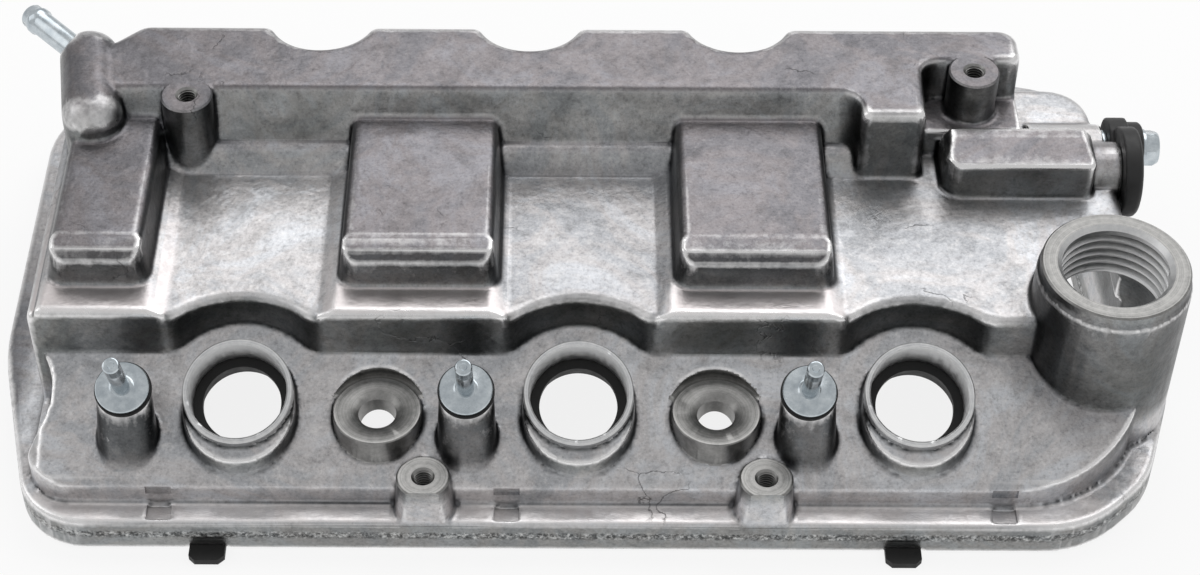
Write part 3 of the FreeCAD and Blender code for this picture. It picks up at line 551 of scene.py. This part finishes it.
# %% Shares of each change
# Each share grows from nothing to a top value between two values of its source.
share_limits = {
    "stained": (cast_noise["stains"].outputs["Fac"], 0.5, 0.68, 0.4),
    "mottled_dark": (cast_noise["mottle"].outputs["Fac"], 0.52, 0.68, 0.45),
    "mottled_light": (cast_noise["mottle"].outputs["Fac"], 0.46, 0.32, 0.5),
    "specked_dark": (cast_noise["specks"].outputs["Fac"], 0.52, 0.68, 0.4),
    "specked_light": (cast_noise["specks"].outputs["Fac"], 0.46, 0.34, 0.18),
    # The raised, upper, top, side, low and wall shares mark where painted shade darkens tops, walls and
    # sides.
    "raised": (where.outputs["Z"], 56 * MM, 61 * MM, 1.0),
    "upper": (where.outputs["Z"], 20 * MM, 26 * MM, 1.0),
    "top": (facing, 0.5, 0.85, 1.0),
    "side": (sideways, 0.35, 0.75, 0.85),
    "low": (where.outputs["Z"], 13 * MM, 11 * MM, 1.0),
    # Shares of painted shade and painted light, from the marked places.
    "painted_shade_share": (painted_light_and_shade, 0.0, -1.0, 1.0),
    "painted_light_share": (painted_light_and_shade, 0.0, 1.0, 1.0),
    "patch": (cast_noise["patches"].outputs["Fac"], 0.38, 0.62, 0.6),
    "wall": (facing, 0.80, 0.25, 1.0),
    "level": (facing, 0.80, 0.93, 1.0),
    "ledge": (where.outputs["Z"], 13.5 * MM, 12.5 * MM, 1.0),
    "front": (where.outputs["Y"], -78 * MM, -82 * MM, 0.55),
    # Painted shade in the feet and a painted highlight on the edges, both read from the bend.
    "foot": (ragged, 0.455, 0.30, 0.88),
    "edge": (ragged, 0.538, 0.64, 0.85),
    "polish": (ragged, 0.57, 0.72, 0.14),
    "hairline": (cells.outputs["Distance"], 0.009, 0.002, 1.0),
    "crazed": (cast_noise["crazed"].outputs["Fac"], 0.60, 0.68, 0.65),
    "flash": (off_flash, 1.8 * MM, 0.8 * MM, 1.0),
    "steep": (facing, 0.5, 0.2, 1.0),
    "fleck_dark": (cast_noise["flecks"].outputs["Fac"], 0.5, 0.56, 0.8),
    "fleck_light": (cast_noise["flecks"].outputs["Fac"], 0.46, 0.40, 0.8),
}
share = {}
for name, (source, low, high, top) in share_limits.items():
    share[name] = node(
        tree, "ShaderNodeMapRange", {"Value": source}, in_From_Min=low, in_From_Max=high,
        in_To_Min=0.0, in_To_Max=top,
    ).outputs["Result"]

# A share that counts only within another is the two multiplied.
share_within = {
    # These products carry painted shade on tops, walls and sides, and a painted highlight on the front
    # ledge.
    "painted_shade_on_tops": ("raised", "top"), "upper_wall": ("wall", "upper"), "painted_shade_low_walls": ("wall", "low"),
    "painted_shade_wall_patches": ("upper_wall", "patch"), "painted_shade_on_sides": ("side", "upper"),
    # A painted highlight on the level front ledge.
    "level_ledge": ("ledge", "level"), "painted_highlight_ledge": ("level_ledge", "front"),
    "crazing": ("hairline", "crazed"), "flash_zone": ("flash", "steep"),
    "flash_dark": ("flash_zone", "fleck_dark"), "flash_light": ("flash_zone", "fleck_light"),
}
for name, (inner, outer) in share_within.items():
    share[name] = node(tree, "ShaderNodeMath", {0: share[inner], 1: share[outer]},
                       operation="MULTIPLY").outputs[0]
print("shares of the cast finish:", len(share))

# %% Colour of the cast finish
cloud_colour = node(tree, "ShaderNodeValToRGB", {"Fac": cast_noise["clouds"].outputs["Fac"]})
ramp = cloud_colour.color_ramp
cloud_tones = {0.28: "a4a6aa", 0.42: "b4b5b8", 0.5: "c0bdbd", 0.6: "c6c8cc", 0.72: "d4d1d0"}
ramp.elements[0].position = min(cloud_tones)
ramp.elements[1].position = max(cloud_tones)
for position in sorted(cloud_tones)[1:-1]:
    ramp.elements.new(position)
for stop, tone in zip(ramp.elements, cloud_tones.values()):
    stop.color = srgb(tone)

# Each layer covers or darkens what lies below it, by its share.
colour = cloud_colour.outputs["Color"]
cast_layers = [
    ("stained", "7c7c7c", "MIX"), ("mottled_dark", "777677", "MIX"),
    ("mottled_light", "dedcdb", "MIX"), ("specked_dark", "a5a5a6", "MULTIPLY"),
    # Painted shade on the raised tops.
    ("specked_light", "f1f0ef", "MIX"), ("painted_shade_on_tops", "a8a5a7", "MULTIPLY"),
    # Painted shade on the walls, deeper in patches.
    ("upper_wall", "d2d4d2", "MULTIPLY"), ("painted_shade_wall_patches", "969a97", "MULTIPLY"),
    # Painted shade on the sides and on the low walls.
    ("painted_shade_on_sides", "8e8f91", "MULTIPLY"), ("painted_shade_low_walls", "bcbebc", "MULTIPLY"),
    # Painted shade and painted light on the marked places, and a painted highlight on the front ledge.
    ("painted_shade_share", "a2a2a4", "MULTIPLY"), ("painted_highlight_ledge", "f4efee", "MIX"), ("painted_light_share", "dcd4d3", "MIX"),
    # Painted shade in the feet and a painted highlight on the edges.
    ("foot", "2e2f32", "MIX"), ("edge", "f2f1f1", "MIX"), ("crazing", "3c3b3c", "MIX"),
    ("flash_dark", "2e2f2f", "MIX"), ("flash_light", "d8d9d8", "MIX"),
]
for name, tone, blend in cast_layers:
    colour = node(tree, "ShaderNodeMix", {"Factor": share[name], 6: colour}, data_type="RGBA",
                  blend_type=blend, in_7=srgb(tone)).outputs[2]
tree.links.new(colour, shader.inputs["Base Color"])
shader.inputs["Metallic"].default_value = 1.0
print("layers of the cast finish:", len(cast_layers))

# %% Roughness and relief of the cast finish
rough = node(tree, "ShaderNodeMapRange", {"Value": cast_noise["stains"].outputs["Fac"]},
             in_From_Min=0.3, in_From_Max=0.7, in_To_Min=0.27, in_To_Max=0.40)
rough = node(tree, "ShaderNodeMath", {0: rough.outputs["Result"], 1: share["polish"]},
             operation="SUBTRACT")
tree.links.new(rough.outputs[0], shader.inputs["Roughness"])

flash_relief = node(
    tree, "ShaderNodeMath", {0: share["flash_zone"], 1: cast_noise["flecks"].outputs["Fac"]},
    operation="MULTIPLY",
)
hair_relief = node(tree, "ShaderNodeMath", {0: share["crazing"]}, operation="MULTIPLY", in_1=-1.0)

# Heights of the reliefs in mm. Each bump starts from the normal of the one before.
reliefs = [
    (cast_noise["swell"].outputs["Fac"], 0.5), (cast_noise["grain"].outputs["Fac"], 0.07),
    (hair_relief.outputs[0], 0.15), (flash_relief.outputs[0], 0.5),
]
relief = None
for height, depth in reliefs:
    links = {"Height": height}
    if relief:
        links["Normal"] = relief.outputs["Normal"]
    relief = node(tree, "ShaderNodeBump", links, in_Strength=1.0, in_Distance=depth * MM)
tree.links.new(relief.outputs["Normal"], shader.inputs["Normal"])
print("reliefs in mm:", [depth for _, depth in reliefs])

# %% [markdown]
# ## Machined aluminium
# A face mill or a lathe tool leaves bright metal with fine rings round its axis. Noise in one
# dimension, read at the distance from that axis, draws such rings at any place on the cover. Two
# finishes share it: light metal in the tubes and threads, and darker, oily bolt seats with
# stronger rings.

# %% Build the machined finishes
RING_SIZE = 0.9
SCUFF_SIZE = 2.5


def machined_finish(name, dark, bright, rough_low, rough_high, ring_height):
    """Bright metal with tool rings that follow the distance from each turned face's axis."""
    material, tree, shader, place = new_material(name)
    turning = node(tree, "ShaderNodeAttribute", attribute_name="turn_radius")
    rings = node(tree, "ShaderNodeTexNoise", {"W": turning.outputs["Fac"]}, noise_dimensions="1D",
                 in_Scale=per_size(RING_SIZE), in_Detail=4.0, in_Roughness=0.7)
    scuffs = node(tree, "ShaderNodeTexNoise", {"Vector": place.outputs["Object"]},
                  in_Scale=per_size(SCUFF_SIZE), in_Detail=6.0, in_Roughness=0.75)
    tone = node(tree, "ShaderNodeMath", {0: rings.outputs["Fac"], 1: scuffs.outputs["Fac"]},
                operation="ADD")
    tone = node(tree, "ShaderNodeMapRange", {"Value": tone.outputs[0]}, in_From_Min=0.7,
                in_From_Max=1.3)
    colour = node(tree, "ShaderNodeValToRGB", {"Fac": tone.outputs["Result"]})
    colour.color_ramp.elements[0].color = srgb(dark)
    colour.color_ramp.elements[1].color = srgb(bright)
    tree.links.new(colour.outputs["Color"], shader.inputs["Base Color"])
    shader.inputs["Metallic"].default_value = 1.0
    rough = node(tree, "ShaderNodeMapRange", {"Value": scuffs.outputs["Fac"]}, in_From_Min=0.3,
                 in_From_Max=0.7, in_To_Min=rough_low, in_To_Max=rough_high)
    tree.links.new(rough.outputs["Result"], shader.inputs["Roughness"])
    relief = node(tree, "ShaderNodeBump", {"Height": rings.outputs["Fac"]}, in_Strength=0.6,
                  in_Distance=ring_height * MM)
    tree.links.new(relief.outputs["Normal"], shader.inputs["Normal"])
    return material


# Bored aluminium: clean and light, with rings so fine that it only looks softly brushed.
milled = machined_finish("machined_aluminium", "b9babc", "dddddc", 0.32, 0.46, 0.03)
# Bolt seats: the same metal, greyed by oil, whose rings still catch the light one by one.
turned_seat = machined_finish("turned_bolt_seat", "6c6c6b", "a1a09e", 0.28, 0.4, 0.06)
print("machined finishes:", milled.name, "and", turned_seat.name)

# %% [markdown]
# ## Where the cover is machined, and where light and shade are painted
# A face belongs to a cut if it lies in a ring round the axis of that cut, and then it takes the
# machined finish and its distance from the axis. Painted shade and painted light have no sharp border,
# so they are kept as a number at each point, which the cast finish fades with.

# %% List the machined faces
# Each zone has a finish, the stand of its axis, an inner and an outer radius, and a lowest and a
# highest point in mm. A face counts as machined up to the slack beyond the size drawn.
CAST, MILLED, TURNED = 0, 1, 2
SLACK = 0.05
zones = []
for stand in tube_stands:
    zones += [(MILLED, stand, TUBE_BORE - 0.3, RIM_RADIUS + SLACK, -RIM_LENGTH, SLACK)]
    zones += [(MILLED, stand, TUBE_BORE - 0.3, TUBE_MOUTH + SLACK, -TUBE_DEPTH, SLACK)]
for stand in bolt_stands:
    zones += [(TURNED, stand, 0, BOSS_RADIUS + 0.1, -BOSS_ROOT - 0.2, SLACK)]
    zones += [(TURNED, stand, BOSS_RADIUS - 0.1, SPOT_RADIUS + 0.1, -1.0, SPOT_ROOM)]
zones += [(TURNED, neck_stand, NECK_MOUTH + 0.2, NECK_RIM_RADIUS + SLACK, -0.6, SLACK)]
zones += [(MILLED, neck_stand, 0, NECK_CREST + 0.3, -NECK_DEPTH - 1.0, SLACK)]
for stand in thread_stands:
    zones += [(TURNED, stand, 0, THREAD_MOUTH + 0.1, -THREAD_DEPTH - 0.5, SLACK)]
for stand in thread_stands[len(REAR_THREADS):]:
    zones += [(TURNED, stand, THREAD_MOUTH, THREAD_BOSS_RADIUS, -0.4, SLACK)]
zones = [(finish, stand.inverted(), *(v * MM for v in limits)) for finish, stand, *limits in zones]
print("machined zones:", len(zones))

# %% Mark the places of painted shade and painted light
# Painted shade darkens some places (below zero) and painted light brightens others (above zero).
# Each has a lowest and a highest corner in mm, the amount in its middle, and the range of slopes
# that it reaches, from 0 for a wall to 1 for a level face.
PAINTED_SHADE_AND_LIGHT_BORDER = 2.5
ALL_SLOPES = (-1.0, 1.1)
STEEP = (-1.0, 0.75)
LEVEL = (0.75, 1.1)
HUMP_LEFT = (-169.0, -71.0, 27.0)
left_flange = ((-190.0, -25.0, -2.0), (-166.0, 95.0, 15.5), -1.0, ALL_SLOPES)
hump_fronts = ((-180.0, 24.0, 54.5), (82.0, 38.0, 70.0), -1.0, (-1.0, 0.9))
neck_wall = ((126.0, -5.0, 26.0), (180.0, 52.0, 66.0), -0.55, ALL_SLOPES)
middle_bay = ((-24.0, 8.0, 46.0), (28.5, 90.0, 56.0), -0.4, (0.5, 1.1))
right_bay = ((76.0, 8.0, 46.0), (170.0, 90.0, 56.0), -0.2, (0.5, 1.1))
# Painted shade on the plug tube columns, the left flange, the hump fronts, the neck wall and the bays.
painted_shade_and_light_places = [((x - 43.5, -22.0, 22.0), (x - 20.5, 12.0, 43.0), -0.85, STEEP) for x in TUBE_X.values()]
painted_shade_and_light_places += [left_flange, hump_fronts, neck_wall, middle_bay, right_bay]
# Painted light on the pads in front of the humps.
painted_shade_and_light_places += [((x - 3.0, 12.0, 49.0), (x + 51.0, 30.5, 57.0), 0.7, LEVEL) for x in HUMP_LEFT]

painted_shade_and_light_values = [0.0] * len(casting.data.vertices)
for vert in casting.data.vertices:
    point = vert.co / MM + DRAWING_ORIGIN
    for low, high, amount, (steepest, levelest) in painted_shade_and_light_places:
        inside = min(min(p - a, b - p) for p, a, b in zip(point, low, high))
        if inside > 0 and steepest < vert.normal.z < levelest:
            painted_shade_and_light_values[vert.index] = amount * min(1.0, inside / PAINTED_SHADE_AND_LIGHT_BORDER)
casting.data.attributes.new("painted_light_and_shade", "FLOAT", "POINT").data.foreach_set("value", painted_shade_and_light_values)
print("shade_and_light_painted vertices:", sum(1 for value in painted_shade_and_light_values if value))

# %% Give each face its finish
CASTING_SHARP = 42
casting.data.materials.clear()
for finish in (cast, milled, turned_seat):
    casting.data.materials.append(finish)
turning = casting.data.attributes.new("turn_radius", "FLOAT", "CORNER")
machined_count = 0
for face in casting.data.polygons:
    face.material_index = CAST
    for finish, back, inner, outer, low, high in zones:
        local = back @ face.center
        radius = math.hypot(local.x, local.y)
        if low < local.z < high and inner < radius < outer:
            face.material_index = finish
            lies_square = abs((back.to_3x3() @ face.normal).z) > 0.9
            for corner in face.loop_indices if lies_square else ():
                point = back @ casting.data.vertices[casting.data.loops[corner].vertex_index].co
                turning.data[corner].value = math.hypot(point.x, point.y)
            machined_count += 1
            break
shade(casting, CASTING_SHARP)
stands_for(casting, "cover_casting")
print("machined faces:", machined_count)

# %% [markdown]
# ## Zinc plate, coated sheet, rubber and nylon
# The small pieces have finishes that change little over their few millimetres, so one function
# builds them all: two close tones, a roughness that follows them, and a fine bump.

# %% Build the plain finishes
GRAIN_SIZE = 0.8


def plain_finish(name, low, high, metallic, rough_low, rough_high, size, bump):
    """Finish with a soft change of colour and roughness, and a fine bump."""
    material, tree, shader, place = new_material(name)
    objects = place.outputs["Object"]
    noise = node(tree, "ShaderNodeTexNoise", {"Vector": objects}, in_Scale=per_size(size),
                 in_Detail=5.0, in_Roughness=0.6)
    colour = node(tree, "ShaderNodeValToRGB", {"Fac": noise.outputs["Fac"]})
    for stop, position, tone in zip(colour.color_ramp.elements, (0.3, 0.7), (low, high)):
        stop.position = position
        stop.color = srgb(tone)
    tree.links.new(colour.outputs["Color"], shader.inputs["Base Color"])
    shader.inputs["Metallic"].default_value = metallic
    rough = node(tree, "ShaderNodeMapRange", {"Value": noise.outputs["Fac"]}, in_From_Min=0.3,
                 in_From_Max=0.7, in_To_Min=rough_low, in_To_Max=rough_high)
    tree.links.new(rough.outputs["Result"], shader.inputs["Roughness"])
    grain = node(tree, "ShaderNodeTexNoise", {"Vector": objects}, in_Scale=per_size(GRAIN_SIZE),
                 in_Detail=3.0)
    relief = node(tree, "ShaderNodeBump", {"Height": grain.outputs["Fac"]}, in_Strength=0.5,
                  in_Distance=bump * MM)
    tree.links.new(relief.outputs["Normal"], shader.inputs["Normal"])
    return material


# Bright zinc plate: a hard metal shine with a cold blue tint, a little patchy where the bath was.
zinc = plain_finish("zinc_plated_steel", "a9b2b8", "cdd4d8", 1.0, 0.16, 0.28, 3.0, 0.006)
# Coated sheet: broad dull spangles, greyer and softer in its shine than the plated turned parts.
sheet = plain_finish("zinc_coated_sheet", "a9adb0", "c2c5c8", 1.0, 0.32, 0.45, 12.0, 0.01)
# Oil resistant rubber: almost black and matt, so that it reads as a dark line between metals.
rubber = plain_finish("moulded_rubber", "0c0c0c", "1a1a1a", 0.0, 0.5, 0.7, 4.0, 0.04)
# Glass filled nylon: black with a grainy satin skin, which lifts its rounded edges a little.
nylon = plain_finish("black_nylon", "0d0d0e", "1b1b1c", 0.0, 0.4, 0.6, 3.0, 0.05)
print("plain finishes:", [finish.name for finish in (zinc, sheet, rubber, nylon)])

# %% [markdown]
# ## Coil studs
# Each ignition coil is held by a plated stud: a smooth shank on a wide flange, with a short
# thicker end. A lathe makes the real one, and one spun outline makes this one. The studs lean
# with the plug tubes, because the coils go in along the same line.

# %% Turn the studs
# Each pair is a radius and a height above the stud's seat, from its foot up.
STUD_SEAT = (-32.16, -2.3, 42.5)
STUD_SHARP = 25
foot = [(0, -10.0), (2.45, -10.0), (2.45, 0.0)]
flange = [(7.45, 0.0), (7.76, 0.3), (7.76, 1.25), (7.5, 1.55), (7.0, 1.6), (3.7, 1.6)]
waist = [(3.3, 1.75), (2.9, 2.15), (2.35, 2.2), (2.3, 2.7), (2.45, 3.0)]
shank = [(2.45, 15.2), (2.32, 15.5), (2.32, 15.9), (2.5, 16.2), (2.5, 20.1)]
tip = [(2.2, 20.6), (1.9, 20.75), (1.1, 20.75), (0.9, 20.55), (0, 20.5)]
stud_outline = foot + flange + waist + shank + tip
for side, x in TUBE_X.items():
    stand = leaning(x + STUD_SEAT[0], *STUD_SEAT[1:])
    stud = joined(f"plated_stud_{side}", [(turned(stud_outline, SMALL_STEPS), stand)])
    stud.data.materials.append(zinc)
    shade(stud, STUD_SHARP)
    stands_for(stud, f"coil_stud_{side}")
print("studs:", len(TUBE_X))

# %% [markdown]
# ## Breather pipe
# A short steel pipe is pressed into the elbow and takes the breather hose, held by a raised bead.
# It is turned from one outline, bead and bore together, and its end is slightly rounded.

# %% Turn the breather pipe
# Each pair is a radius and a distance along the pipe, from its end in the elbow outwards.
PIPE_HEADING = math.radians(134.4)
PIPE_MIDDLE = (-151.2, 107.1, 72.0)
PIPE_START = 1.2
PIPE_SHARP = 30
bore_start = [(3.0, 0.0), (3.9, 0.0)]
bead = [(3.9, 21.9), (4.05, 22.4), (4.4, 23.3), (4.4, 24.7), (4.1, 25.4), (3.9, 25.9)]
mouth = [(3.9, 27.7), (3.7, 28.1), (3.45, 28.2), (3.1, 28.0), (3.0, 27.6)]
lying = Matrix.Rotation(PIPE_HEADING, 4, "Z") @ Matrix.Rotation(math.pi / 2, 4, "Y")
pipe_stand = upright(*PIPE_MIDDLE) @ lying @ Matrix.Translation((0, 0, PIPE_START * MM))
pipe = joined("breather_hose_pipe", [(turned(bore_start + bead + mouth, SMALL_STEPS), pipe_stand)])
pipe.data.materials.append(zinc)
shade(pipe, PIPE_SHARP)
stands_for(pipe, "breather_pipe")
low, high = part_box("breather_pipe")
print("packed pipe:", [round(v / MM, 1) for v in low], [round(v / MM, 1) for v in high])
made = list(zip(*(vert.co / MM for vert in pipe.data.vertices)))
print("turned pipe:", [round(min(row), 1) for row in made], [round(max(row), 1) for row in made])

# %% [markdown]
# ## Moulded and pressed pieces
# The end cap is moulded, so its edges are rounded by a fine skin and a little relaxing, as the
# casting's are. The bolt, its sleeve and the baffle keep crisp edges with a narrow bevel, which
# catches a line of light.

# %% Round the end cap
CAP_SQUARE = 0.4
CAP_SHARE_KEPT = 0.2
CAP_SHARP = 50
cap = packed_copy("end_cap", "moulded_end_cap")
even_skin(cap, CAP_SQUARE, CAP_SHARE_KEPT)
cap.data.materials.append(nylon)
shade(cap, CAP_SHARP)
stands_for(cap, "end_cap")

# %% Bevel the hardware
HARDWARE_SHARP = 35
bevelled = {
    "end_cap_bolt": (zinc, "zinc_steel", 0.35), "end_cap_sleeve": (zinc, "zinc_steel", 0.2),
    "baffle_plate": (sheet, "baffle_steel", 0.2),
}
for node_name, (finish, slot_name, width) in bevelled.items():
    piece = packed_copy(node_name, f"{node_name}_finished")
    edge_break = piece.modifiers.new("edge_break", "BEVEL")
    edge_break.width = width * MM
    edge_break.segments = 2
    edge_break.limit_method = "ANGLE"
    edge_break.angle_limit = math.radians(HARDWARE_SHARP)
    settle(piece)
    piece.data.materials.append(finish)
    shade(piece, HARDWARE_SHARP)
    stands_for(piece, node_name)
    print(node_name, len(piece.data.polygons), "faces")

# %% [markdown]
# ## Pieces that keep their drawn shape
# Washers, seals, the gasket, the O-ring and the baffle's screws are drawn in full, so they only
# take the finish of their material.

# %% Finish the remaining pieces
finish_of = {"zinc_steel": zinc, "baffle_steel": sheet, "gasket_rubber": rubber, "black_plastic": nylon}
for part in frame["record"]["subparts"]:
    if part["material_slot"] in finish_of:
        piece = nodes[part["node"]]
        piece.data.materials.clear()
        piece.data.materials.append(finish_of[part["material_slot"]])
print("finishes by material:", {slot: finish.name for slot, finish in finish_of.items()})

# %% [markdown]
# ## Camera
# The photograph looks down on the cover from the front at about 46 degrees. The lens and the
# place of the camera were fitted to the plug tubes and studs, whose spacing is known.

# %% Camera at the photograph's angle
PHOTO_WIDTH = 1200
PHOTO_FOCAL = 2492.0
PHOTO_CENTRE = 568.0
ELEVATION = math.radians(45.75)
ROLL = math.radians(0.3)
SENSOR = 36.0
CAMERA_PLACE = (-3.2, -477.4, 533.2 + RIM_HEIGHT)
camera_data = bpy.data.cameras.new("photo_camera")
camera = bpy.data.objects.new("photo_camera", camera_data)
bpy.context.scene.collection.objects.link(camera)
camera_data.sensor_width = SENSOR
camera_data.lens = PHOTO_FOCAL / PHOTO_WIDTH * SENSOR
camera_data.shift_x = (PHOTO_WIDTH / 2 - PHOTO_CENTRE) / PHOTO_WIDTH
camera.location = spot(*CAMERA_PLACE)
turned_down = Matrix.Rotation(math.pi / 2 - ELEVATION, 4, "X") @ Matrix.Rotation(ROLL, 4, "Z")
camera.rotation_euler = turned_down.to_euler()
bpy.context.scene.camera = camera
print("lens:", round(camera_data.lens, 2), "mm")

# %% [markdown]
# ## Floor, world and lamps
# A pale floor fills the view. One large soft box hangs behind and above the cover, so that its
# upward faces shine softly and its front walls stay dark, as in the photograph. A weaker one
# stands on the left.

# %% Floor
FLOOR_SIZE = 6.0
FLOOR_DROP = 0.5
PAPER_GLOW = 0.85
floor_mesh = bpy.data.meshes.new("floor")
shape = bmesh.new()
bmesh.ops.create_grid(shape, x_segments=1, y_segments=1, size=FLOOR_SIZE)
shape.to_mesh(floor_mesh)
shape.free()
floor = bpy.data.objects.new("floor", floor_mesh)
bpy.context.scene.collection.objects.link(floor)
floor.location.z = -FLOOR_DROP * MM
paper, tree, shader, place = new_material("white_paper")
shader.inputs["Base Color"].default_value = srgb("f2f2f2")
shader.inputs["Roughness"].default_value = 0.9
shader.inputs["Specular IOR Level"].default_value = 0.1
ray = node(tree, "ShaderNodeLightPath")
seen = node(tree, "ShaderNodeMath", {0: ray.outputs["Is Camera Ray"], 1: ray.outputs["Is Glossy Ray"]},
            operation="MAXIMUM")
seen = node(tree, "ShaderNodeMath", {0: seen.outputs[0], 1: ray.outputs["Is Transmission Ray"]},
            operation="MAXIMUM")
glow_share = node(tree, "ShaderNodeMath", {0: seen.outputs[0]}, operation="MULTIPLY", in_1=PAPER_GLOW)
glow = node(tree, "ShaderNodeEmission", in_Strength=1.0, in_Color=(1, 1, 1, 1))
paper_mix = node(tree, "ShaderNodeMixShader",
                 {0: glow_share.outputs[0], 1: shader.outputs[0], 2: glow.outputs[0]})
tree.links.new(paper_mix.outputs[0], tree.nodes["Material Output"].inputs["Surface"])
floor_mesh.materials.append(paper)
print("floor at", round(floor.location.z / MM, 2), "mm")

# %% World and lamps
WORLD_STRENGTH = 0.68
world = bpy.data.worlds.new("studio")
bpy.context.scene.world = world
world.use_nodes = True
sky = world.node_tree.nodes["Background"]
sky.inputs["Color"].default_value = (1, 1, 1, 1)
sky.inputs["Strength"].default_value = WORLD_STRENGTH


def area_lamp(name, place, target, width, height, power):
    """Soft box that shines from a place to a target."""
    data = bpy.data.lights.new(name, "AREA")
    data.shape = "RECTANGLE"
    data.size = width
    data.size_y = height
    data.energy = power
    lamp = bpy.data.objects.new(name, data)
    lamp.location = place
    lamp.rotation_euler = (Vector(target) - Vector(place)).to_track_quat("-Z", "Y").to_euler()
    bpy.context.scene.collection.objects.link(lamp)
    return lamp


area_lamp("overhead_box", (0.25, 0.62, 0.95), (0.05, 0.03, 0), width=1.2, height=0.9, power=5.0)
area_lamp("left_box", (-1.0, 0.1, 0.7), (0, 0, 0), width=0.6, height=0.9, power=1.2)
bpy.context.scene.view_settings.view_transform = "Standard"
